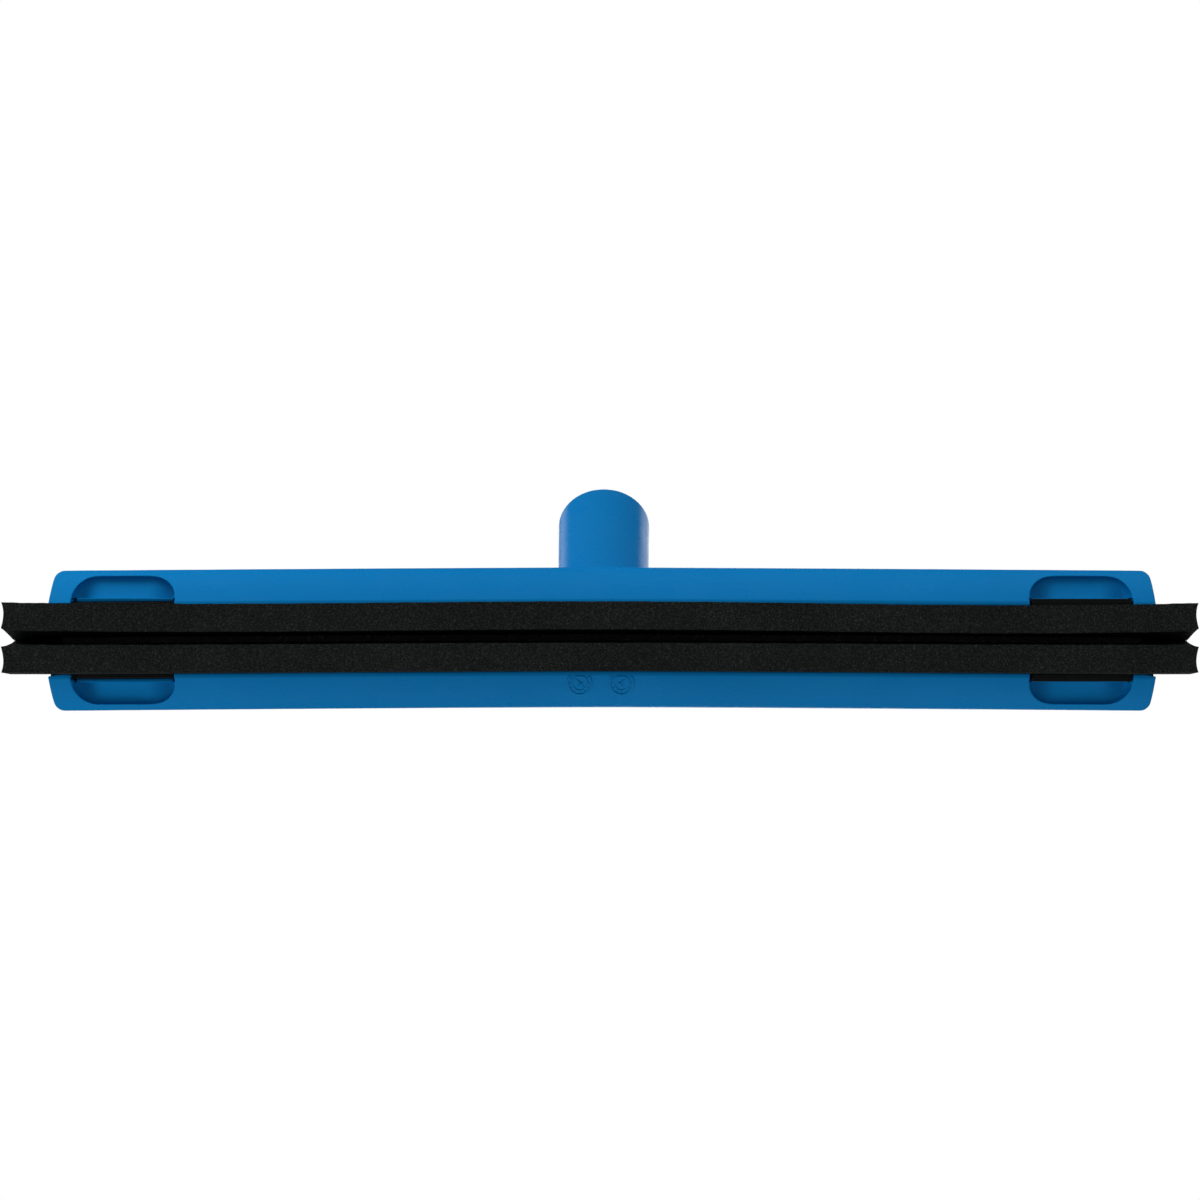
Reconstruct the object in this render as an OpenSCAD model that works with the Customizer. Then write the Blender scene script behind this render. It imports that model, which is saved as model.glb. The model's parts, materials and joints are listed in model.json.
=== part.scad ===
// Double-blade floor squeegee head with a slide-in cassette.
// The blade tips stand on z = 0, and the origin lies midway between them at mid length.
// X runs along the blades, and the handle neck leans back towards -Y.

/* [Housing] */
// Length of the housing along X
housing_len = 382.6; // [300:1:600]
// Half width of the housing at its widest line, the rim
rim_half = 24.8; // [22.8:0.1:30]
// Height of the rim above the floor
rim_z = 43; // [41:0.5:46]
// Height of the deck over the middle of the housing
crown_z = 50; // [47:0.5:54]
// Height of the deck at the two ends of the housing
deck_end_z = 46; // [45:0.5:50]
// Radius of the housing's corners, seen from above
corner_r = 3; // [2:0.5:8]
// Height of the lips' lower face
lip_z = 23.2; // [22:0.2:25]
// Thickness of the lips
lip_t = 3.4; // [2.5:0.1:4]

/* [Channel] */
// Half width between the two lips
lip_half = 11.8; // [11:0.1:12]
// Half width of the channel above the lips
channel_half = 13.5; // [13:0.1:14]
// Height of the channel's roof
channel_z = 38; // [36:0.5:40]

/* [Finger scoops] */
// Middle of the scoops and notches along X
scoop_x = 165.7; // [130:0.5:170]
// Length of the scoops and notches along X
scoop_len = 35.9; // [30:0.5:40]
// Half width reached by the scoops
scoop_half = 22.1; // [20:0.1:22.5]
// Half width reached by the notches in the lips
notch_half = 14.6; // [14.4:0.1:15.5]
// Height of the scoops' ceiling
scoop_z = 39; // [34:0.5:39]
// Radius of the scoops' outer corners
scoop_r = 7; // [3:0.5:7]

/* [Neck] */
// Outer radius of the neck
neck_r = 16.8; // [15:0.1:17]
// Lean of the neck from upright, in degrees
neck_lean = 36; // [0:1:45]
// Height at which the neck's axis crosses the middle plane
neck_foot_z = 46.5; // [44:0.5:48]
// Length of the neck's axis from the middle plane to the mouth
neck_len = 72; // [60:1:90]
// Radius of the flared root of the neck
flare_r = 17.8; // [17:0.1:21]
// Height of the flare along the neck's axis
flare_len = 16; // [8:1:24]
// Radius of the handle socket at the crests of its thread
socket_r = 11.3; // [10:0.1:12.5]
// Depth of the handle socket
socket_len = 42; // [30:1:50]

/* [Cassette] */
// Length of the carrier
carrier_len = 382; // [300:1:600]
// Half width of the carrier's skirt, between the lips
skirt_half = 11.3; // [11:0.1:11.6]
// Half width of the carrier's rails, above the lips
rail_half = 13.2; // [13:0.05:13.3]
// Height of the carrier's lower edge
carrier_z = 22.8; // [22:0.2:24]
// Height of the carrier's top
carrier_top_z = 37.6; // [36:0.1:37.7]
// Thickness of the carrier's roof
roof_t = 2; // [1.5:0.1:2.5]

/* [Foam blades] */
// Length of the foam strip
foam_len = 405.4; // [320:0.1:640]
// How far the foam strip sits off the middle, along X
foam_shift = -0.5; // [-2:0.1:2]
// Half width over both blades at the tips
foam_half = 11.85; // [11:0.05:13]
// Half width of the foam where the carrier clamps it
clamp_half = 8.7; // [8:0.1:9]
// Half width of the groove between the blades at the tips
groove_half = 2.15; // [1.5:0.05:3]
// Thickness of the keel strips inside the fold
keel_t = 2.4; // [2:0.1:3]
// Lower edge of the keel strips
keel_z = 20.5; // [18:0.5:24]
// Height of the keel strips
keel_h = 8; // [6:0.5:9]
// Length of each keel strip
keel_len = 186; // [140:1:190]

/* [Release tabs] */
// Length of a release tab along X
tab_len = 34.5; // [28:0.5:35]
// Middle of the release tabs along X
tab_x = 165.9; // [130:0.1:170]
// Height of the line that a release tab turns about
tab_hinge_z = 34; // [33:0.5:34.5]
// Distance of that line from the middle plane
tab_hinge_y = 12.25; // [12:0.05:12.4]
// Distance of a tab's outer face from the middle plane
tab_nose_half = 14.3; // [13.8:0.1:14.4]
// Lower face of a release tab
tab_z = 24.5; // [24:0.1:25]

/* [Hidden] */
$fn = 64;
housing_color = [0.0, 0.42, 0.68];
plastic_color = [0.05, 0.05, 0.05];
keel_color = [0.2, 0.2, 0.21];
foam_color = [0.1, 0.105, 0.1];
eps = 0.01;                        // overlap of a cutting tool with open air
past = 2;                          // how far a cut runs past a face
arc_steps = 12;                    // straight steps along a curved outline
lip_top_z = lip_z + lip_t;
lip_round = 0.9;                   // bevel of the lips' lower corners
belly_y = 19.5;                    // the flank passes through (belly_y, belly_z)
belly_z = 32.4;
keel_y = 13.4;                     // where the flank starts, at the lips' lower face
rim_round = 2;                     // height of the vertical band at the rim
deck_edge_y = 19;                  // where the deck's shoulder meets the deck
window_len = tab_len + 2;          // opening in the carrier behind a tab
notch_top_z = 31;                  // top of the notches in the channel's walls
rail_z = lip_top_z + 0.3;          // lower face of the carrier's rails
wall_gap = 0.1;                    // room between the foam and the carrier
foam_waist_z = carrier_z - 3;      // where the blades start to narrow
foam_neck_z = carrier_z;           // where the blades reach the clamped width
foam_top_z = carrier_top_z - roof_t - wall_gap;
keel_gap = 0.05;                   // room between a keel strip and the foam
tab_t = 1.3;                       // thickness of a release tab's leaf
root_half = 0.5;                   // half thickness of the leaf where it meets its root
tab_inner = 11.9;                  // distance of a tab's inner face from the middle
nose_z = 29;                       // top of the thick nose of a tab
tab_bevel = 0.4;                   // bevel along a tab's lower edges
hinge_r = 0.7;                     // radius of the tab's hinge root
hinge_gap = 0.1;                   // room round the hinge root
socket_lead = 1.2;                 // lead-in chamfer at the socket's mouth
mouth_round = 1;                   // bevel of the neck's outer edge at the mouth

// Points of a curve through three points, with its ends at a and c (a quadratic through b).
function bow(a, b, c) = let (q = 2 * b - (a + c) / 2)
    [for (i = [0:arc_steps]) let (t = i / arc_steps)
        (1 - t) * (1 - t) * a + 2 * t * (1 - t) * q + t * t * c];

// Right half of the housing's outline, from the lip's lower inner corner to the deck.
flank = concat([[lip_half, lip_z + lip_round], [lip_half + lip_round, lip_z]],
               bow([keel_y, lip_z], [belly_y, belly_z], [rim_half, rim_z - rim_round]),
               [[rim_half, rim_z]],
               bow([rim_half - 0.4, rim_z + 1], [deck_edge_y, rim_z + 4.2], [0, crown_z + 1]));

function mirrored(points) = [for (i = [len(points) - 1:-1:0]) [-points[i][0], points[i][1]]];

// An outline in the YZ plane, extruded along X about the middle.
module along_x(length) {
    rotate([90, 0, 90])
        linear_extrude(height = length, center = true)
            children();
}

// The outer form of the housing, with no channel.
module hull_form() {
    intersection() {
        along_x(housing_len)
            polygon(concat(flank, mirrored(flank)));
        // the rounded plan
        linear_extrude(height = crown_z + past)
            housing_plan();
        // the crown of the deck along X
        rotate([90, 0, 0])
            linear_extrude(height = 4 * rim_half, center = true)
                polygon(concat([[housing_len / 2 + past, 0]],
                               bow([housing_len / 2 + past, deck_end_z], [0, crown_z],
                                   [-housing_len / 2 - past, deck_end_z]),
                               [[-housing_len / 2 - past, 0]]));
    }
}

module housing_plan() {
    square([housing_len - 2 * corner_r, 2 * rim_half], center = true);
    square([housing_len, 2 * (rim_half - corner_r)], center = true);
    for (x = [-1, 1], y = [-1, 1])
        translate([x * (housing_len / 2 - corner_r), y * (rim_half - corner_r)])
            circle(r = corner_r);
}

// The T-slot that the cassette slides in.
module channel() {
    along_x(housing_len + 2 * past) {
        translate([-channel_half, lip_top_z])
            square([2 * channel_half, channel_z - lip_top_z]);
        translate([-lip_half, lip_z - past])
            square([2 * lip_half, lip_t + past + eps]);
    }
}

// One finger scoop with the notch in the lip beside it; side is 1 in front and -1 behind.
module scoop(side) {
    mirror([0, side < 0 ? 1 : 0, 0]) {
        translate([-scoop_len / 2, 0, lip_z - past])
            cube([scoop_len, notch_half, notch_top_z - lip_z + past]);
        translate([0, 0, lip_z - past])
            linear_extrude(height = scoop_z - lip_z + past)
                scoop_plan();
    }
}

// D-shaped outline of a scoop, flat along its outer edge. A thin wall stays between the
// scoop and the channel, so the outline stops at the notch.
module scoop_plan() {
    intersection() {
        translate([-scoop_len / 2, notch_half])
            square([scoop_len, scoop_half - notch_half]);
        union() {
            square([scoop_len, 2 * (scoop_half - scoop_r)], center = true);
            square([scoop_len - 2 * scoop_r, 2 * scoop_half], center = true);
            for (x = [-1, 1])
                translate([x * (scoop_len / 2 - scoop_r), scoop_half - scoop_r])
                    circle(r = scoop_r);
        }
    }
}

module housing() {
    color(housing_color)
    difference() {
        hull_form();
        channel();
        for (end = [-1, 1], side = [-1, 1])
            translate([end * scoop_x, 0, 0])
                scoop(side);
    }
}

// Places its children on the neck's axis, with z = 0 at the middle plane of the head.
module on_neck() {
    translate([0, 0, neck_foot_z])
        rotate([neck_lean, 0, 0])
            children();
}

module neck() {
    color(housing_color)
    difference() {
        on_neck()
            rotate_extrude()
                polygon([[0, -neck_r], [flare_r, -neck_r], [flare_r, 0], [neck_r, flare_len],
                         [neck_r, neck_len - mouth_round], [neck_r - mouth_round, neck_len],
                         [0, neck_len]]);
        // the deck that the neck stands on, and everything below it
        hull_form();
        translate([-2 * neck_r, -3 * neck_r, -past])
            cube([4 * neck_r, 6 * neck_r, rim_z + past]);
        on_neck() {
            translate([0, 0, neck_len - socket_len])
                cylinder(r = socket_r, h = socket_len + past);
            translate([0, 0, neck_len - socket_lead])
                cylinder(r1 = socket_r, r2 = socket_r + socket_lead + eps, h = socket_lead + eps);
        }
    }
}

module carrier() {
    color(plastic_color)
    difference() {
        along_x(carrier_len)
            carrier_outline();
        // openings behind the release tabs, each with a round groove for the hinge root
        for (side = [0, 1])
            mirror([0, side, 0]) {
                translate([tab_x - window_len / 2, clamp_half, carrier_z - past])
                    cube([window_len, rail_half + past - clamp_half,
                          tab_hinge_z - carrier_z + past]);
                translate([tab_x, tab_hinge_y, tab_hinge_z])
                    rotate([0, 90, 0])
                        cylinder(r = hinge_r + hinge_gap, h = window_len, center = true);
            }
    }
}

// Section of the carrier: a U with a rail along each side.
module carrier_outline() {
    difference() {
        union() {
            translate([-skirt_half, carrier_z])
                square([2 * skirt_half, carrier_top_z - carrier_z]);
            translate([-rail_half, rail_z])
                square([2 * rail_half, carrier_top_z - rail_z]);
        }
        translate([-clamp_half - wall_gap, carrier_z - past])
            square([2 * (clamp_half + wall_gap), carrier_top_z - roof_t - carrier_z + past]);
    }
}

// Release tab on the front side: a leaf that hangs from its hinge root, with a thick nose.
module release_tab() {
    translate([tab_x, 0, 0]) {
        along_x(tab_len)
            polygon([[tab_inner, tab_z + tab_bevel], [tab_inner + tab_bevel, tab_z],
                     [tab_nose_half - tab_bevel, tab_z], [tab_nose_half, tab_z + tab_bevel],
                     [tab_nose_half, nose_z - 1], [tab_inner + tab_t, nose_z],
                     [tab_inner + tab_t, tab_hinge_z - 2.5],
                     [tab_hinge_y + root_half, tab_hinge_z],
                     [tab_hinge_y - root_half, tab_hinge_z],
                     [tab_inner, tab_hinge_z - 2.5]]);
        translate([0, tab_hinge_y, tab_hinge_z])
            rotate([0, 90, 0])
                cylinder(r = hinge_r, h = tab_len, center = true);
    }
}

module latch_tab_front() {
    color(plastic_color) release_tab();
}

module latch_tab_rear() {
    color(plastic_color) mirror([0, 1, 0]) release_tab();
}

// Keel strip from the middle plane out to a rounded end; it fills the fold of the foam.
module keel_strip() {
    end_r = keel_t / 2;
    translate([0, 0, keel_z])
        linear_extrude(height = keel_h) {
            translate([keel_gap, -end_r])
                square([keel_len - end_r - keel_gap, keel_t]);
            translate([keel_len - end_r, 0])
                circle(r = end_r);
        }
}

module keel_left() {
    color(keel_color) mirror([1, 0, 0]) keel_strip();
}

module keel_right() {
    color(keel_color) keel_strip();
}

// The folded foam strip: two blades below, clamped round the keel strips above.
module foam_strip() {
    slot_half = keel_t / 2 + keel_gap;
    color(foam_color)
    translate([foam_shift, 0, 0])
        along_x(foam_len)
            difference() {
                polygon([[foam_half, 0], [foam_half, foam_waist_z], [clamp_half, foam_neck_z],
                         [clamp_half, foam_top_z], [-clamp_half, foam_top_z],
                         [-clamp_half, foam_neck_z], [-foam_half, foam_waist_z],
                         [-foam_half, 0]]);
                polygon([[groove_half + eps, -eps], [slot_half, keel_z - 1],
                         [slot_half, keel_z + keel_h + keel_gap],
                         [-slot_half, keel_z + keel_h + keel_gap],
                         [-slot_half, keel_z - 1], [-groove_half - eps, -eps]]);
            }
}

housing();
neck();
carrier();
latch_tab_front();
latch_tab_rear();
keel_left();
keel_right();
foam_strip();
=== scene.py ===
import json
import math

import bpy
import numpy as np
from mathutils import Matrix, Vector


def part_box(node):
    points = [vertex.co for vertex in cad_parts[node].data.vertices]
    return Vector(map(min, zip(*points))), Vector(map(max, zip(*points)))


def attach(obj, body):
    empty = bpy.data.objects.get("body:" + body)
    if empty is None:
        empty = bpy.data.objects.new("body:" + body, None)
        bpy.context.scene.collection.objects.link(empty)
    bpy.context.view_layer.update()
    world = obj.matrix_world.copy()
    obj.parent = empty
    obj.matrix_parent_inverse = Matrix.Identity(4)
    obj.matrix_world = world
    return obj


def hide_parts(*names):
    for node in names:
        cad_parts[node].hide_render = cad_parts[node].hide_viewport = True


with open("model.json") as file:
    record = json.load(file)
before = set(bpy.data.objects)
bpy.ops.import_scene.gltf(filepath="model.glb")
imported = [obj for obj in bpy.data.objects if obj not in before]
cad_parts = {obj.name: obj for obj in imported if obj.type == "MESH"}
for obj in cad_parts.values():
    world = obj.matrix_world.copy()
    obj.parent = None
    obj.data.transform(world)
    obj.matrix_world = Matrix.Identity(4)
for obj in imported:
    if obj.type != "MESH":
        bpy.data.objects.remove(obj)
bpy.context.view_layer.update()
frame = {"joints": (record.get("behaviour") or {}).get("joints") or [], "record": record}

MM = 0.001


# ---------------------------------------------------------------- sizes, in millimetres
def box_mm(*nodes):
    """Lowest and highest corner of some CAD nodes together."""
    corners = [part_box(n) for n in nodes]
    low = np.min([np.array(c[0]) for c in corners], axis=0) / MM
    high = np.max([np.array(c[1]) for c in corners], axis=0) / MM
    return low, high


house_low, house_high = box_mm("housing")
carrier_low, carrier_high = box_mm("carrier")
foam_low, foam_high = box_mm("foam_strip")
keel_low, keel_high = box_mm("keel_right")
tab_low, tab_high = box_mm("latch_tab_front")
socket = next(m for m in frame["record"]["mounts"] if m["name"] == "handle_socket")
hinge = next(j for j in frame["joints"] if j["name"] == "latch_front_press")

HALF_LEN = house_high[0]
RIM_HALF = house_high[1]
LIP_Z = house_low[2]
CROWN_Z = house_high[2]

LIP_T = 3.4              # thickness of the lips that hold the cassette
LIP_HALF = 11.6          # half width of the slot between the lips
CHANNEL_HALF = 13.3      # half width of the channel above them
CHANNEL_Z = 38.0         # height of the channel's ceiling
KEEL_Y = 12.8            # half width where the flank leaves the lips
RIM_Z_END = 42.2         # height of the rim at the ends
RIM_ARCH = 1.8           # how much higher it is in the middle
BOW = 1.2                # how far the long head bows back in the middle, against its ends
BOW_START = -0.2         # how far back it sits at the ends
CORNER_R = 3.0           # corners of the housing in plan
DECK_END_Z = 45.8        # height of the deck at the ends
SCOOP_X = 165.7          # middle of a scoop along the head
SCOOP_HALF_LEN = 17.95
SCOOP_HALF = 22.3        # how far out a scoop reaches across the head
SCOOP_FLAT = 8.75        # half length of the straight outer edge of a scoop
SCOOP_CORNER = (7.9, 10.1)   # length of its rounded ends, towards the end and the middle
SCOOP_Z = 38.6           # height of a scoop's ceiling
NOTCH_HALF = 14.6        # how far out the notches in the lips reach
NOTCH_TOP = 30.0
STAMP_Y = 14.9           # where the two date stamps sit, on the front flank
STAMPS = (("date_stamp_left", -7.8, 0.9), ("date_stamp_right", 6.7, 2.3))   # x and arrow's turn

AXIS = np.array(socket["axis"])
SOCKET_R = socket["dims"]["r_mm"]
NECK_FOOT_Z = 46.5       # height at which the neck's axis starts
NECK_LEN = 72.0
NECK_R = 16.7            # outside of the neck at its mouth
NECK_TAPER = 0.9         # how much slimmer it is at its foot
SOCKET_LEN = 42.0
THREAD_PITCH = 5.0
THREAD_DEPTH = 1.2

RAIL_HALF = carrier_high[1]
SKIRT_HALF = 11.15       # half width of the carrier between the lips
CLAMP_HALF = 8.7         # half width of the foam where the carrier clamps it
ROOF_T = 2.0             # thickness of the carrier's roof
HINGE_Y = hinge["pos_m"][1] / MM
HINGE_Z = hinge["pos_m"][2] / MM

FOAM_MID = (foam_low[0] + foam_high[0]) / 2
FOAM_HALF_LEN = (foam_high[0] - foam_low[0]) / 2
FOAM_TOP_R = 3.0         # upper corners of the clamped part
FOLD_R = 0.9             # round top of the groove, over the keel
FREE_Z = 21.0            # the blades can lean and wave below this height
GROOVE_HALF = 2.2        # half width of the groove at the blade tips
GROOVE_END_HALF = 2.9    # the same where it flares at the ends of the strip
TAB_ROOM = 0.65          # depth of the hollows that pressed tabs swing into


# ---------------------------------------------------------------- solids from distance fields
def both(a, b, r):
    """Intersection of two solids, with a round edge of radius r."""
    if r <= 0:
        return np.maximum(a, b)
    return (np.minimum(np.maximum(a, b), -r)
            + np.hypot(np.maximum(a + r, 0), np.maximum(b + r, 0)))


def without(a, b, r):
    """Solid a with b cut away, and a round edge of radius r."""
    return both(a, -b, r)


def blend(a, b, k):
    """Union of two solids with a soft fillet about k wide."""
    h = np.maximum(k - np.abs(a - b), 0) / k
    return np.minimum(a, b) - h * h * k / 4


def step(t):
    """A smooth step from 0 to 1."""
    t = np.clip(t, 0, 1)
    return t * t * (3 - 2 * t)


def slab(a, middle, half):
    """A flat slab across one axis."""
    return np.abs(a - middle) - half


def gradient(sdf, p, h=0.06):
    """Slope of a distance field at points p, by differences over h."""
    g = np.empty_like(p)
    for i in range(3):
        d = np.zeros(3)
        d[i] = h
        g[:, i] = (sdf(*(p + d).T) - sdf(*(p - d).T)) / (2 * h)
    return g


def surface_net(sdf, xs, ys, zs):
    """Vertices, quads and normals of the surface where sdf is zero, on a grid of lines."""
    lines = [np.asarray(a, float) for a in (xs, ys, zs)]
    grid = np.meshgrid(*lines, indexing="ij", sparse=True)
    f = np.broadcast_to(sdf(*grid), tuple(len(a) for a in lines)).astype(np.float32)
    inside = f < 0
    cells = tuple(n - 1 for n in f.shape)
    count = np.zeros(cells, np.int8)
    for a in (0, 1):
        for b in (0, 1):
            for c in (0, 1):
                count += inside[a:cells[0] + a, b:cells[1] + b, c:cells[2] + c]
    active = (count > 0) & (count < 8)
    number = np.full(cells, -1, np.int32)
    number[active] = np.arange(active.sum())
    ijk = np.argwhere(active)
    total = np.zeros((len(ijk), 3))
    crossings = np.zeros(len(ijk))
    for axis in range(3):
        others = [i for i in range(3) if i != axis]
        for a in (0, 1):
            for b in (0, 1):
                start = ijk.copy()
                start[:, others[0]] += a
                start[:, others[1]] += b
                end = start.copy()
                end[:, axis] += 1
                f0 = f[tuple(start.T)]
                f1 = f[tuple(end.T)]
                cut = (f0 < 0) != (f1 < 0)
                t = f0[cut] / (f0[cut] - f1[cut])
                p0 = np.stack([lines[i][start[cut, i]] for i in range(3)], 1)
                p1 = np.stack([lines[i][end[cut, i]] for i in range(3)], 1)
                total[cut] += p0 + t[:, None] * (p1 - p0)
                crossings[cut] += 1
    points = total / crossings[:, None]
    for _ in range(3):                       # settle the points on the true surface
        g = gradient(sdf, points)
        move = (sdf(*points.T) / np.maximum((g * g).sum(1), 0.05))[:, None] * g
        points -= np.clip(move, -0.3, 0.3)
    g = gradient(sdf, points)
    normals = g / np.linalg.norm(g, axis=1)[:, None]
    quads = []
    for axis in range(3):
        u, v = [(1, 2), (2, 0), (0, 1)][axis]
        low = [slice(None)] * 3
        high = [slice(None)] * 3
        low[axis] = slice(0, -1)
        high[axis] = slice(1, None)
        first, second = inside[tuple(low)], inside[tuple(high)]
        at = np.argwhere(first != second)
        at = at[(at[:, u] > 0) & (at[:, v] > 0) & (at[:, u] < cells[u]) & (at[:, v] < cells[v])]
        ring = []
        for du, dv in ((1, 1), (0, 1), (0, 0), (1, 0)):
            c = at.copy()
            c[:, u] -= du
            c[:, v] -= dv
            ring.append(number[tuple(c.T)])
        ring = np.stack(ring, 1)
        leaving = first[tuple(at.T)]
        quads.append(np.where(leaving[:, None], ring, ring[:, ::-1]))
    return points, np.concatenate(quads), normals


def build(name, points, faces, normals=None):
    """A smooth-shaded mesh object from points in millimetres."""
    mesh = bpy.data.meshes.new(name)
    mesh.from_pydata((np.asarray(points) * MM).tolist(), [], np.asarray(faces).tolist())
    mesh.validate()
    mesh.update()
    mesh.shade_smooth()
    if normals is not None and len(normals) == len(mesh.vertices):
        mesh.normals_split_custom_set_from_vertices(normals.tolist())
    piece = bpy.data.objects.new(name, mesh)
    bpy.context.scene.collection.objects.link(piece)
    return piece


def spaced(*stops):
    """Grid lines through stops of (place, spacing up to the next stop)."""
    out = []
    for (a, s), (b, _) in zip(stops, stops[1:]):
        n = max(1, round((b - a) / s))
        out += list(np.linspace(a, b, n, endpoint=False))
    return np.array(out + [stops[-1][0]])


def mirrored_lines(half):
    """Grid lines on both sides of 0 from those of the upper half, which start above 0."""
    return np.concatenate([-half[::-1], half])


# ---------------------------------------------------------------- housing with its neck
def bend(x):
    """How far back the head sits, from its slight bow."""
    return BOW_START + BOW * (1 - np.clip(np.abs(x) / HALF_LEN, 0, 1) ** 1.3)


def rim_line(x):
    """How far from the ends, 1 in the middle, and the height of the rim."""
    middle = 1 - np.clip(np.abs(x) / HALF_LEN, 0, 1) ** 2
    return middle, RIM_Z_END + RIM_ARCH * middle


def flank_half(t):
    """Half width of the hull from the lips, t = 0, to the rim, t = 1."""
    t = np.clip(t, 0, 1)
    return KEEL_Y + (RIM_HALF - KEEL_Y) * (1.5 * t - 0.5 * t * t)


def hull(x, y, z):
    """The housing's outside: flanks that flare from the lips to the rim, and a crowned deck."""
    middle, rim_z = rim_line(x)
    t = (z - LIP_Z) / (rim_z - LIP_Z)
    ay = np.abs(y + bend(x))
    slope = (flank_half(t + 0.01) - flank_half(t - 0.01)) / (0.02 * (rim_z - LIP_Z))
    flank = (ay - flank_half(t)) / np.sqrt(1 + slope * slope)
    crown = DECK_END_Z + (CROWN_Z - 0.1 - DECK_END_Z) * middle
    rise = crown - rim_z - 0.8
    part = np.clip(ay / RIM_HALF, 0, 1.1)
    deck = z - (rim_z + 0.8 + rise * (1 - part ** 3))
    deck = deck / np.sqrt(1 + (3 * rise * part ** 2 / RIM_HALF) ** 2)
    plan = (np.hypot(np.maximum(np.abs(x) - HALF_LEN + CORNER_R, 0),
                     np.maximum(ay - RIM_HALF + CORNER_R, 0)) - CORNER_R)
    body = both(flank, deck, 1.0)
    body = both(body, plan, 0.7)
    return both(body, LIP_Z - z, 0.7)


def neck_place(x, y, z):
    """Distance along the neck's axis, distance from it, and the angle round it."""
    along = y * AXIS[1] + (z - NECK_FOOT_Z) * AXIS[2]
    across = y * AXIS[2] - (z - NECK_FOOT_Z) * AXIS[1]
    return along, np.hypot(x, across), np.arctan2(across, x)


def channel(x, y, z):
    """The T-shaped channel that the cassette slides in, open at both ends."""
    ay = np.abs(y + bend(x))
    ax = np.abs(x)
    lead_in = 0.8 * np.clip((ax - HALF_LEN + 4.2) / 4.2, 0, 1) ** 1.5
    slot = np.maximum(ay - LIP_HALF - lead_in, z - LIP_Z - LIP_T - 1)
    upper = both(ay - CHANNEL_HALF - 0.5 * lead_in,
                 slab(z, (LIP_Z + LIP_T + CHANNEL_Z) / 2, (CHANNEL_Z - LIP_Z - LIP_T) / 2), 0.6)
    return np.minimum(slot, upper)


def scoops(x, y, z):
    """The four finger scoops, D-shaped in plan, with the notches in the lips beside them."""
    ay = np.abs(y)
    ax = np.abs(x)
    across = (ax - SCOOP_X) / SCOOP_HALF_LEN
    flat_middle = SCOOP_X + 1.2
    outward = ax > flat_middle
    corner = np.where(outward, *SCOOP_CORNER)
    reach = SCOOP_HALF - NOTCH_HALF
    plan = (np.hypot(np.maximum(np.abs(ax - flat_middle) - SCOOP_FLAT, 0) / corner,
                     np.maximum(ay - NOTCH_HALF, 0) / reach) - 1) * reach
    ends = step((np.abs(across) - 0.4) / 0.58)
    foot = np.clip(1 - (ay - NOTCH_HALF) / reach, 0, 1) ** 1.4
    ceiling = z - SCOOP_Z + 5.5 * foot * (1 - 0.7 * ends) + 3.0 * np.clip(across, -1, 1) ** 4
    scoop = both(plan, ceiling, 2.2)
    scoop = both(scoop, NOTCH_HALF - ay, 0.3)
    top = NOTCH_TOP + 5 * step((np.abs(across) - 0.93) / 0.06)
    notch = both(np.abs(ax - SCOOP_X) - SCOOP_HALF_LEN, ay - NOTCH_HALF, 0.3)
    notch = np.maximum(notch, z - top)
    return np.minimum(scoop, notch)


def housing_solid(x, y, z):
    """Hull and neck in one moulding, less the channel, the scoops and the threaded socket."""
    along, radius, angle = neck_place(x, y, z)
    outer = radius - (NECK_R - NECK_TAPER * (1 - np.clip(along / NECK_LEN, 0, 1)))
    neck = both(outer, along - NECK_LEN, 1.4)
    neck = both(neck, -4 - along, 1)
    body = blend(hull(x, y, z), neck, 9)
    body = without(body, channel(x, y, z), 0.2)
    body = without(body, scoops(x, y, z), 0.45)
    turn = along / THREAD_PITCH - angle / (2 * math.pi)
    crest = np.clip(0.5 + 0.9 * np.cos(2 * math.pi * turn), 0, 1)
    fade = step((along - NECK_LEN + SOCKET_LEN - 4) / 4) * step((NECK_LEN - 1.2 - along) / 1.5)
    wall = SOCKET_R + THREAD_DEPTH * crest * fade
    wall = np.maximum(wall, SOCKET_R + 0.4 + along - NECK_LEN + 1.6)
    bore = both(radius - wall, NECK_LEN - SOCKET_LEN - along, 0.8)
    return without(body, bore, 0.5)


def make_housing():
    inner, outer = SCOOP_X - SCOOP_HALF_LEN, SCOOP_X + SCOOP_HALF_LEN
    half = spaced((0.4, 0.8), (24, 2.4), (inner - 1.5, 0.3), (inner + 3, 0.5), (inner + 8, 1.0),
                  (outer - 8, 0.5), (outer - 3, 0.3), (outer + 1, 0.5), (HALF_LEN + 1, 0))
    xs = mirrored_lines(half)
    neck_low, neck_high = box_mm("neck")
    ys = spaced((neck_low[1] - 1, 0.75), (-RIM_HALF - 2, 0.42), (RIM_HALF + 1, 0))
    zs = spaced((LIP_Z - 1, 0.4), (CROWN_Z + 1, 0.7), (neck_high[2] + 1, 0))
    piece = build("housing_moulding", *surface_net(housing_solid, xs, ys, zs))
    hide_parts("housing", "neck")
    return piece


def underside(x, y):
    """Height of the housing's lower surface over points in plan, by bisection."""
    low = np.full(np.shape(x), LIP_Z - 1.0)
    high = np.full(np.shape(x), LIP_Z + 14.0)
    for _ in range(30):
        mid = (low + high) / 2
        solid = hull(x, y, mid) < 0
        high = np.where(solid, mid, high)
        low = np.where(solid, low, mid)
    return (low + high) / 2


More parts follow.
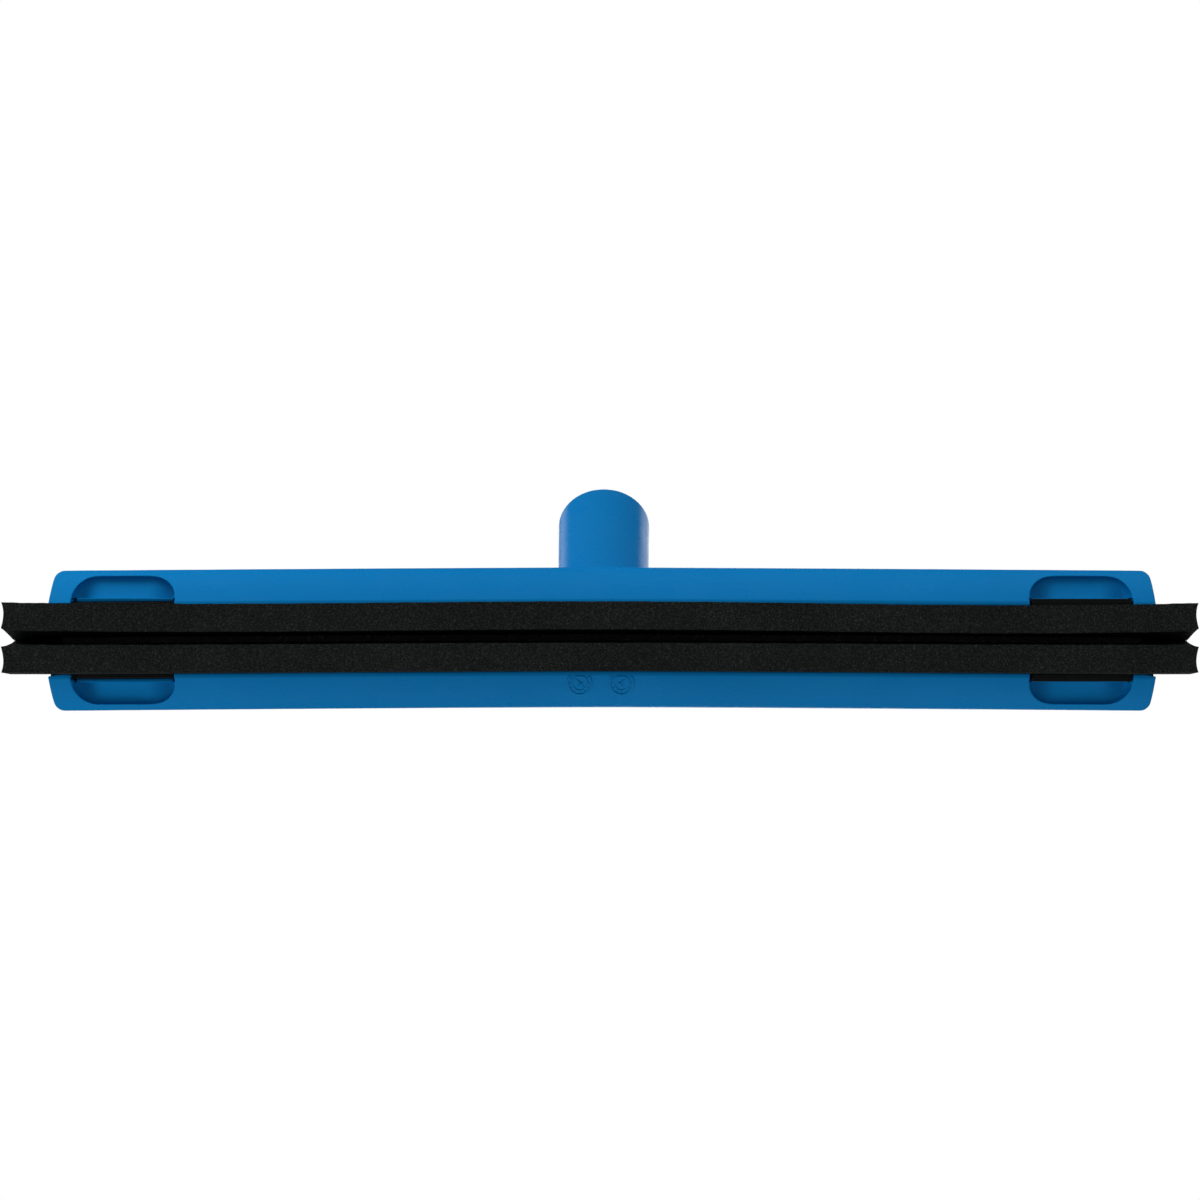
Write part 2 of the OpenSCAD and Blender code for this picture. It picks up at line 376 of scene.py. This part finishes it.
def make_stamp(name, centre_x, centre_y, arrow_turn):
    """A round moulded date stamp: a rim, a ring of dots and an arrow, in low relief."""
    outer_r, rim_r, dots_r, ring_r = 4.45, 4.1, 3.35, 2.6
    line_half = 0.2
    rows, columns = 56, 144
    a = np.linspace(0, 2 * math.pi, columns, endpoint=False)
    r = np.linspace(0.02, outer_r, rows)
    r, a = np.meshgrid(r, a, indexing="ij")
    u, v = r * np.cos(a), r * np.sin(a)
    rim = (np.abs(r - rim_r) < 0.25) * 1.0
    ring = (np.abs(r - ring_r) < line_half) * 0.8
    dots = np.zeros_like(r)
    for k in range(12):
        b = 2 * math.pi * k / 12
        dot = np.hypot(u - dots_r * math.cos(b), v - dots_r * math.sin(b)) < line_half
        dots = np.maximum(dots, dot)
    along = u * math.cos(arrow_turn) + v * math.sin(arrow_turn)
    across = np.abs(-u * math.sin(arrow_turn) + v * math.cos(arrow_turn))
    shaft = (across < line_half) & (np.abs(along) < 1.6)
    head = (along > 0.4) & (along < 1.7) & (across < (1.7 - along) * 0.75)
    height = 0.04 + 0.42 * np.maximum.reduce([rim, ring, 0.7 * dots, 1.0 * (shaft | head)])
    height[-1] = -0.2
    x, y = centre_x + u, centre_y + v
    z = underside(x, y) - height
    points = np.stack([x, y, z], -1).reshape(-1, 3)
    k = np.arange(rows * columns).reshape(rows, columns)
    nxt = np.roll(k, -1, axis=1)
    faces = np.stack([k[:-1], nxt[:-1], nxt[1:], k[1:]], -1).reshape(-1, 4)
    middle = points[faces].mean(1)
    faces = faces[middle[:, 1] > LIP_HALF + 0.9]
    used, faces = np.unique(faces, return_inverse=True)
    return build(name, points[used], faces.reshape(-1, 4))


# ---------------------------------------------------------------- cassette
def tab_window():
    """Middle and half length of the opening in the carrier behind a tab."""
    return (tab_low[0] + tab_high[0]) / 2, (tab_high[0] - tab_low[0]) / 2 + 1


def carrier_solid(x, y, z):
    """An upside-down U with a rail along each side, and a window behind each tab."""
    ay = np.abs(y + bend(x))
    low, high = carrier_low[2], carrier_high[2]
    rail_z = LIP_Z + LIP_T + 0.3
    skirt = both(ay - SKIRT_HALF, slab(z, (low + high) / 2, (high - low) / 2), 0.4)
    rail = both(ay - RAIL_HALF, slab(z, (rail_z + high) / 2, (high - rail_z) / 2), 0.4)
    body = np.minimum(skirt, rail)
    body = both(body, np.abs(x) - carrier_high[0], 0.5)
    inner = both(ay - CLAMP_HALF - 0.05, z - high + ROOF_T, 1.0)
    body = without(body, inner, 0.3)
    middle, half = tab_window()
    window = np.maximum(np.maximum(np.abs(x - middle) - half, CLAMP_HALF - ay), z - HINGE_Z)
    groove = np.maximum(np.hypot(ay - HINGE_Y, z - HINGE_Z) - 0.8, np.abs(x - middle) - half)
    return without(body, np.minimum(window, groove), 0.2)


def make_carrier():
    half = spaced((0.4, 2.5), (146, 0.5), (150.5, 1.5), (180.5, 0.5), (carrier_high[0] + 1, 0))
    xs = mirrored_lines(half)
    ys = spaced((-RAIL_HALF - 1.8, 0.3), (RAIL_HALF + 0.9, 0))
    zs = spaced((carrier_low[2] - 0.6, 0.3), (carrier_high[2] + 0.6, 0))
    piece = build("cassette_carrier", *surface_net(carrier_solid, xs, ys, zs))
    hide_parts("carrier")
    return piece


def tab_solid(x, y, z):
    """A leaf that hangs from its living hinge, with a sloped nose along its lower edge."""
    inner, outer = tab_low[1], tab_high[1]
    low = tab_low[2]
    root = np.hypot(y - HINGE_Y, z - HINGE_Z) - 0.7
    leaf_half = 0.65 - 0.15 * step((z - HINGE_Z + 2.5) / 2.5)
    leaf = both(np.abs(y - HINGE_Y - 0.3 * step((HINGE_Z - z) / 2.5)) - leaf_half,
                slab(z, (low + HINGE_Z) / 2, (HINGE_Z - low) / 2), 0.1)
    nose = both(slab(y, (inner + outer) / 2, (outer - inner) / 2),
                slab(z, low + 2.2, 2.2), 0.45)
    slope = ((y - outer) + (z - low - 3.4)) * 0.707
    nose = both(nose, slope, 0.4)
    body = blend(np.minimum(root, leaf), nose, 0.5)
    middle = (tab_low[0] + tab_high[0]) / 2
    return both(body, np.abs(x - middle) - (tab_high[0] - tab_low[0]) / 2, 0.35)


def make_tab(side):
    """side is 1 in front and -1 behind."""
    name = "front" if side > 0 else "rear"
    xs = spaced((tab_low[0] - 0.5, 0.2), (tab_low[0] + 1.2, 1.2), (tab_high[0] - 1.2, 0.2),
                (tab_high[0] + 0.5, 0))
    ys = spaced((tab_low[1] - 1, 0.13), (tab_high[1] + 0.5, 0))
    zs = spaced((tab_low[2] - 0.5, 0.13), (tab_high[2] + 1, 0))
    points, quads, normals = surface_net(tab_solid, xs, ys, zs)
    if side < 0:
        points[:, 1] *= -1
        normals[:, 1] *= -1
        quads = quads[:, ::-1]
    piece = build(f"release_tab_{name}", points, quads, normals)
    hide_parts(f"latch_tab_{name}")
    return piece


def make_keel(side):
    """side is 1 on the right and -1 on the left."""
    name = "right" if side > 0 else "left"
    half_t = keel_high[1]
    low, high = keel_low[2], keel_high[2]
    inner, outer = keel_low[0], keel_high[0]

    def solid(x, y, z):
        y = y + bend(x)
        u = x - outer + 0.8
        nose = np.hypot(np.maximum(u, 0) / 0.8, y / half_t) * half_t - half_t
        body = both(np.abs(y) - half_t, slab(z, (low + high) / 2, (high - low) / 2), 0.45)
        body = both(body, np.where(u > 0, nose, -half_t), 0.3)
        return both(body, inner - x, 0.25)

    xs = spaced((inner - 0.5, 0.25), (inner + 1.5, 3), (outer - 4, 0.25), (outer + 0.5, 0))
    ys = spaced((-half_t - 1.5, 0.16), (half_t + 0.7, 0))
    zs = spaced((low - 0.5, 0.2), (high + 0.5, 0))
    points, quads, normals = surface_net(solid, xs, ys, zs)
    if side < 0:
        points[:, 0] *= -1
        normals[:, 0] *= -1
        quads = quads[:, ::-1]
    piece = build(f"keel_strip_{name}", points, quads, normals)
    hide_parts(f"keel_{name}")
    return piece


# ---------------------------------------------------------------- foam blades
def wave(x, *terms):
    """A slow waviness: a sum of sines given as (amplitude, wavelength, phase)."""
    return sum(a * np.sin(2 * math.pi * x / w + p) for a, w, p in terms)


def foam_outer(z):
    """Half width of the folded strip's outer faces."""
    waist = carrier_low[2]                # the blades narrow just under the carrier
    tip = foam_high[1] - 0.2
    return tip - (tip - CLAMP_HALF) * step((z - waist + 4.5) / 4.5)


def foam_inner(x, z):
    """Half width of the groove between the blades; it flares at the ends of the strip."""
    keel_half = keel_high[1]
    ax = np.abs(x - FOAM_MID)
    body = GROOVE_HALF - (GROOVE_HALF - keel_half - 0.03) * step(z / keel_low[2])
    shut = step((ax - keel_high[0] - 1) / 9)
    pinched = np.where(z < 14, body, body + (0.01 - body) * step((z - 14) / 11))
    body = body + (pinched - body) * shut
    end = GROOVE_END_HALF * np.clip(1 - (z / 26) ** 1.35, 0.003, 1)
    return body + (end - body) * np.clip(1 - (FOAM_HALF_LEN - ax) / 7, 0, 1) ** 2


def foam_rows(top_z):
    """Heights of the rows of points on a face of the strip, from the tip up to top_z."""
    free_z = 17.0
    part = np.linspace(0, 1, 22)
    return np.concatenate([part * free_z, free_z + part[1:] * (top_z - free_z)])


def foam_half_section(x):
    """Points (y, z) of the outer and the inner line at each x, from a tip to the fold's middle."""
    top_z = foam_high[2]
    fold_z = keel_high[2] + 0.2
    corner = np.linspace(0, math.pi / 2, 8)[1:]
    fold = np.linspace(0, math.pi / 2, 10)[1:]
    outer_z = foam_rows(top_z - FOAM_TOP_R)
    inner_z = foam_rows(fold_z - FOLD_R)
    inner_y = foam_inner(x[:, None], inner_z[None, :])
    oy = np.concatenate([foam_outer(outer_z), CLAMP_HALF - FOAM_TOP_R + FOAM_TOP_R * np.cos(corner),
                         [CLAMP_HALF * 0.33, 0]])
    oz = np.concatenate([outer_z, top_z - FOAM_TOP_R + FOAM_TOP_R * np.sin(corner), [top_z, top_z]])
    iy = np.concatenate([inner_y, inner_y[:, -1:] * np.cos(fold)], 1)
    iz = np.concatenate([inner_z, fold_z - FOLD_R + FOLD_R * np.sin(fold)])
    return [np.broadcast_to(line, iy.shape) for line in (oy, oz, iy, iz)]


def with_mirror(line, sign):
    """A half line and its mirror image, from the front tip over the fold to the rear tip."""
    return np.concatenate([line, sign * line[:, -2::-1]], 1)


def dish_ends(x, w):
    """The cut ends are dished across each blade, and its inner corner stands out furthest."""
    place = (x - FOAM_MID) / FOAM_HALF_LEN
    near_end = np.clip((np.abs(place) * FOAM_HALF_LEN - FOAM_HALF_LEN + 9) / 9, 0, 1)
    dish = 0.95 * 4 * w * (1 - w) * (1 - 0.35 * w) + 0.1 * (1 - w)
    return x - np.sign(place) * near_end ** 2 * dish, place


def lean_blades(x, y, z, w, place, front):
    """The free parts of the blades lean back a little and wave along their length."""
    free = np.clip(1 - z / FREE_Z, 0, 1)
    front_sway = wave(x, (0.35, 340, -1.57), (0.03, 31, 1.0)) - 0.08
    rear_sway = wave(x, (0.62, 310, -1.37), (0.03, 27, 2.2)) + place * wave(x, (0.35, 310, -1.37))
    sway = np.where(front, front_sway, rear_sway - 0.45 * place ** 4)
    y = y + free * (sway - 0.9) - (1 - free) * bend(x)
    # a shallow hollow in each outer face gives a pressed tab room to swing in
    middle, window = tab_window()
    hollow = step((window + 3 - np.abs(x - middle)) / 3) * step((z - 21.5) / 2) * step((31 - z) / 3)
    y = y - np.sign(y) * TAB_ROOM * hollow * (1 - w)
    nick = wave(x, (0.035, 11.3, 0.3), (0.03, 5.1, 1.7)) * free
    return y + np.where(w < 0.5, 1, -1) * nick * np.sign(y)


def block_faces(shape):
    """Quads over the six sides of a block of points."""
    number = np.arange(math.prod(shape)).reshape(shape)
    sides = ((number[:, :, 0], False), (number[:, :, -1], True), (number[:, 0], True),
             (number[:, -1], False), (number[0], False), (number[-1], True))
    faces = []
    for grid, flip in sides:
        quad = np.stack([grid[:-1, :-1], grid[1:, :-1], grid[1:, 1:], grid[:-1, 1:]], -1)
        quad = quad.reshape(-1, 4)
        faces.append(quad[:, ::-1] if flip else quad)
    return np.concatenate(faces)


def make_foam():
    """The folded strip as one block of points, bent into shape."""
    near = spaced((0, 2.2), (FOAM_HALF_LEN - 16, 1.0), (FOAM_HALF_LEN - 5, 0.45), (FOAM_HALF_LEN, 0))
    stations = FOAM_MID + np.concatenate([-near[:0:-1], near])
    oy, oz, iy, iz = foam_half_section(stations)
    oy, iy = with_mirror(oy, -1), with_mirror(iy, -1)
    oz, iz = with_mirror(oz, 1), with_mirror(iz, 1)
    # w goes through the thickness, from 0 on the outer face to 1 on the inner one
    w = 0.5 - 0.5 * np.cos(np.linspace(0, math.pi, 13))
    y = oy[:, :, None] * (1 - w) + iy[:, :, None] * w
    z = oz[:, :, None] * (1 - w) + iz[:, :, None] * w
    rows = y.shape[1]
    front = np.arange(rows)[None, :, None] < rows // 2
    x, place = dish_ends(np.broadcast_to(stations[:, None, None], y.shape), w)
    y = lean_blades(x, y, z, w, place, front)
    points = np.stack([x, y, z], -1).reshape(-1, 3)
    used, faces = np.unique(block_faces(y.shape), return_inverse=True)
    piece = build("foam_double_blade", points[used], faces.reshape(-1, 4))
    edge = piece.modifiers.new("cut edges", "BEVEL")
    edge.width = 0.22 * MM
    edge.segments = 2
    edge.limit_method = "ANGLE"
    edge.angle_limit = math.radians(55)
    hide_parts("foam_strip")
    return piece


# ---------------------------------------------------------------- materials
def node(tree, kind, inputs=None, **settings):
    """A new node with some inputs and settings given."""
    n = tree.nodes.new(kind)
    for key, value in settings.items():
        setattr(n, key, value)
    for key, value in (inputs or {}).items():
        n.inputs[key].default_value = value
    return n


def new_material(name):
    """A material, its tree, its shader, and the place in object space, in metres."""
    m = bpy.data.materials.new(name)
    m.use_nodes = True
    tree = m.node_tree
    shader = next(n for n in tree.nodes if n.type == "BSDF_PRINCIPLED")
    place = node(tree, "ShaderNodeTexCoord").outputs["Object"]
    return m, tree, shader, place


def noise(tree, place, scale, detail=3.0, rough=0.5):
    n = node(tree, "ShaderNodeTexNoise", {"Scale": scale, "Detail": detail, "Roughness": rough})
    tree.links.new(place, n.inputs["Vector"])
    return n.outputs["Fac"]


def ramp(tree, value, stops):
    """A colour that follows a value, from stops of (value, colour)."""
    n = node(tree, "ShaderNodeValToRGB")
    while len(n.color_ramp.elements) < len(stops):
        n.color_ramp.elements.new(0.5)
    for e, (at, colour) in zip(n.color_ramp.elements, stops):
        e.position = at
        e.color = (*colour, 1)
    tree.links.new(value, n.inputs["Fac"])
    return n.outputs["Color"]


def spread(tree, value, low, high):
    """The middle part of a noise value, spread over low to high."""
    n = node(tree, "ShaderNodeMapRange",
             {"From Min": 0.3, "From Max": 0.7, "To Min": low, "To Max": high})
    tree.links.new(value, n.inputs["Value"])
    return n.outputs["Result"]


def bump(tree, shader, height, distance, strength=1.0, below=None):
    n = node(tree, "ShaderNodeBump", {"Distance": distance, "Strength": strength})
    tree.links.new(height, n.inputs["Height"])
    if below is not None:
        tree.links.new(below, n.inputs["Normal"])
    tree.links.new(n.outputs["Normal"], shader.inputs["Normal"])
    return n.outputs["Normal"]


def moulded_blue():
    m, tree, shader, place = new_material("blue_polypropylene")
    drift = noise(tree, place, 14, 2)
    colour = ramp(tree, drift, [(0.3, (0.0, 0.168, 0.450)), (0.7, (0.0, 0.186, 0.490))])
    tree.links.new(colour, shader.inputs["Base Color"])
    cloud = noise(tree, place, 60, 4, 0.6)
    tree.links.new(spread(tree, cloud, 0.24, 0.32), shader.inputs["Roughness"])
    grain = noise(tree, place, 2600, 2, 0.6)
    first = bump(tree, shader, grain, 0.00002, 0.5)
    ripple = noise(tree, place, 45, 2)
    bump(tree, shader, ripple, 0.00015, 0.12, first)
    shader.inputs["Specular IOR Level"].default_value = 0.06
    return m


def gloss_black():
    m, tree, shader, place = new_material("black_gloss_plastic")
    drift = noise(tree, place, 30, 3)
    colour = ramp(tree, drift, [(0.3, (0.011, 0.0115, 0.012)), (0.7, (0.018, 0.0185, 0.019))])
    tree.links.new(colour, shader.inputs["Base Color"])
    tree.links.new(spread(tree, noise(tree, place, 220, 4, 0.6), 0.26, 0.36), shader.inputs["Roughness"])
    bump(tree, shader, noise(tree, place, 900, 2), 0.00002, 0.3)
    shader.inputs["Specular IOR Level"].default_value = 0.3
    return m


def keel_plastic():
    m, tree, shader, place = new_material("grey_keel_plastic")
    drift = noise(tree, place, 25, 3)
    colour = ramp(tree, drift, [(0.3, (0.03, 0.03, 0.031)), (0.7, (0.046, 0.046, 0.048))])
    tree.links.new(colour, shader.inputs["Base Color"])
    tree.links.new(spread(tree, noise(tree, place, 300, 4, 0.6), 0.18, 0.32), shader.inputs["Roughness"])
    bump(tree, shader, noise(tree, place, 1400, 2), 0.00002, 0.4)
    return m


def cellular_rubber():
    m, tree, shader, place = new_material("cellular_rubber")
    cells = node(tree, "ShaderNodeTexVoronoi", {"Scale": 2500.0, "Randomness": 1.0}, feature="F1")
    tree.links.new(place, cells.inputs["Vector"])
    fine = noise(tree, place, 2500, 3, 0.65)
    mix = node(tree, "ShaderNodeMath", operation="MULTIPLY")
    tree.links.new(cells.outputs["Distance"], mix.inputs[0])
    tree.links.new(fine, mix.inputs[1])
    colour = ramp(tree, mix.outputs["Value"],
                  [(0.10, (0.0060, 0.0066, 0.0060)), (0.30, (0.019, 0.022, 0.0205)),
                   (0.55, (0.046, 0.053, 0.049))])
    cloud = noise(tree, place, 35, 3)
    tone = ramp(tree, cloud, [(0.3, (0.85, 0.85, 0.85)), (0.7, (1.1, 1.1, 1.1))])
    both_tones = node(tree, "ShaderNodeMix", data_type="RGBA", blend_type="MULTIPLY")
    both_tones.inputs["Factor"].default_value = 1.0
    tree.links.new(colour, both_tones.inputs["A"])
    tree.links.new(tone, both_tones.inputs["B"])
    tree.links.new(both_tones.outputs["Result"], shader.inputs["Base Color"])
    tree.links.new(spread(tree, fine, 0.75, 0.95), shader.inputs["Roughness"])
    shader.inputs["Specular IOR Level"].default_value = 0.06
    bump(tree, shader, mix.outputs["Value"], 0.00018, 0.9)
    return m


def pale_floor():
    """Seen by the camera from above only, so that a view from below looks past it."""
    m, tree, shader, place = new_material("pale_floor")
    colour = ramp(tree, noise(tree, place, 3, 2), [(0.3, (0.80, 0.80, 0.80)), (0.7, (0.82, 0.82, 0.82))])
    tree.links.new(colour, shader.inputs["Base Color"])
    shader.inputs["Roughness"].default_value = 0.9
    shader.inputs["Specular IOR Level"].default_value = 0.1
    clear = node(tree, "ShaderNodeBsdfTransparent")
    choose = node(tree, "ShaderNodeMixShader")
    path = node(tree, "ShaderNodeLightPath")
    side = node(tree, "ShaderNodeNewGeometry")
    front = node(tree, "ShaderNodeMath", operation="SUBTRACT")
    front.inputs[0].default_value = 1.0
    tree.links.new(side.outputs["Backfacing"], front.inputs[1])
    seen = node(tree, "ShaderNodeMath", operation="MULTIPLY")
    tree.links.new(path.outputs["Is Camera Ray"], seen.inputs[0])
    tree.links.new(front.outputs["Value"], seen.inputs[1])
    tree.links.new(seen.outputs["Value"], choose.inputs["Fac"])
    tree.links.new(clear.outputs["BSDF"], choose.inputs[1])
    tree.links.new(shader.outputs["BSDF"], choose.inputs[2])
    output = next(n for n in tree.nodes if n.type == "OUTPUT_MATERIAL")
    tree.links.new(choose.outputs["Shader"], output.inputs["Surface"])
    return m


def dress(piece, material, body):
    """Gives a piece its material and the body it rides on."""
    piece.data.materials.clear()
    piece.data.materials.append(material)
    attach(piece, body)


# ---------------------------------------------------------------- camera, floor and light
def make_camera():
    """Looks straight up at the blades, with the neck towards the top of the picture."""
    distance = 1.150                         # below the blade tips
    aside = 0.011                            # towards +X of the head's middle
    view_width = 0.406                       # what the picture's width covers at the floor plane
    data = bpy.data.cameras.new("camera")
    data.sensor_width = 36
    data.lens = data.sensor_width * distance / view_width
    data.shift_x = -0.0282
    data.shift_y = 0.0335
    data.clip_end = 20
    camera = bpy.data.objects.new("camera", data)
    camera.location = (aside, 0, -distance)
    camera.rotation_euler = (math.pi, 0, 0)
    bpy.context.scene.collection.objects.link(camera)
    bpy.context.scene.camera = camera


def make_floor():
    half, z = 3.0, -0.0002
    corners = [(-half, -half, z), (half, -half, z), (half, half, z), (-half, half, z)]
    mesh = bpy.data.meshes.new("floor")
    mesh.from_pydata(corners, [], [(0, 1, 2, 3)])
    floor = bpy.data.objects.new("floor", mesh)
    floor.data.materials.append(pale_floor())
    bpy.context.scene.collection.objects.link(floor)


def make_light(name, place, size, power):
    """A square area lamp that faces the origin."""
    data = bpy.data.lights.new(name, "AREA")
    data.shape = "RECTANGLE"
    data.size = size
    data.size_y = size
    data.energy = power
    lamp = bpy.data.objects.new(name, data)
    lamp.location = place
    lamp.rotation_mode = "QUATERNION"
    lamp.rotation_quaternion = (-Vector(place)).to_track_quat("-Z", "Y")
    bpy.context.scene.collection.objects.link(lamp)
    return lamp


def world_light(tree, direction, levels, lean):
    """A background from levels of (height, strength), stronger on the side lean points to."""
    split = node(tree, "ShaderNodeSeparateXYZ")
    tree.links.new(direction, split.inputs["Vector"])
    height = node(tree, "ShaderNodeMapRange", {"From Min": -1.0, "From Max": 1.0})
    tree.links.new(split.outputs["Z"], height.inputs["Value"])
    colour = ramp(tree, height.outputs["Result"],
                  [((z + 1) / 2, (0.97 * v, v, v)) for z, v in levels])
    side = node(tree, "ShaderNodeVectorMath", {1: lean}, operation="DOT_PRODUCT")
    tree.links.new(direction, side.inputs[0])
    strength = node(tree, "ShaderNodeMath", {1: 1.0}, operation="ADD")
    tree.links.new(side.outputs["Value"], strength.inputs[0])
    back = node(tree, "ShaderNodeBackground")
    tree.links.new(colour, back.inputs["Color"])
    tree.links.new(strength.outputs["Value"], back.inputs["Strength"])
    return back.outputs["Background"]


def make_world():
    """A soft light tent, brightest above the horizon. The camera sees plain white."""
    world = bpy.data.worlds.new("studio")
    bpy.context.scene.world = world
    world.use_nodes = True
    world.cycles_visibility.glossy = False
    tree = world.node_tree
    tree.nodes.remove(next(n for n in tree.nodes if n.type == "BACKGROUND"))
    direction = node(tree, "ShaderNodeTexCoord").outputs["Generated"]
    levels = [(-1, 0.34), (-0.6, 0.46), (0, 0.83), (0.72, 1.46), (0.86, 0.6), (1, 0.6)]
    tent = world_light(tree, direction, levels, lean=(-0.12, -0.15, 0))
    white = node(tree, "ShaderNodeBackground", {"Color": (1, 1, 1, 1), "Strength": 1.0})
    choose = node(tree, "ShaderNodeMixShader")
    tree.links.new(node(tree, "ShaderNodeLightPath").outputs["Is Camera Ray"], choose.inputs["Fac"])
    tree.links.new(tent, choose.inputs[1])
    tree.links.new(white.outputs["Background"], choose.inputs[2])
    output = next(n for n in tree.nodes if n.type == "OUTPUT_WORLD")
    tree.links.new(choose.outputs["Shader"], output.inputs["Surface"])


def make_studio():
    """A panel overhead, softboxes that don't show in gloss, and reflectors that only show there."""
    make_world()
    make_light("overhead_panel", (0.1, 0.1, 1.6), 1.0, 6)
    key = make_light("left_softbox", (-0.35, -0.55, -0.05), 0.35, 1.4)
    fill = make_light("left_fill", (-0.50, 0.45, -0.05), 0.35, 0.7)
    for lamp in (key, fill):
        lamp.visible_glossy = False
    for side in (-1, 1):
        strip = make_light("reflector", (0.8 * side, -0.32, 1.5), 0.5, 1.2 + 0.2 * side)
        strip.visible_diffuse = False
    bpy.context.scene.view_settings.view_transform = "Standard"


# ---------------------------------------------------------------- the scene
make_camera()
make_floor()
make_studio()

blue = moulded_blue()
black = gloss_black()
grey = keel_plastic()
rubber = cellular_rubber()

dress(make_housing(), blue, "head")
for stamp, centre_x, turn in STAMPS:
    dress(make_stamp(stamp, centre_x, STAMP_Y, turn), blue, "head")
dress(make_carrier(), black, "cassette")
dress(make_tab(1), black, "latch_front")
dress(make_tab(-1), black, "latch_rear")
for side in (-1, 1):
    dress(make_keel(side), grey, "cassette")
foam = make_foam()
dress(foam, rubber, "cassette")
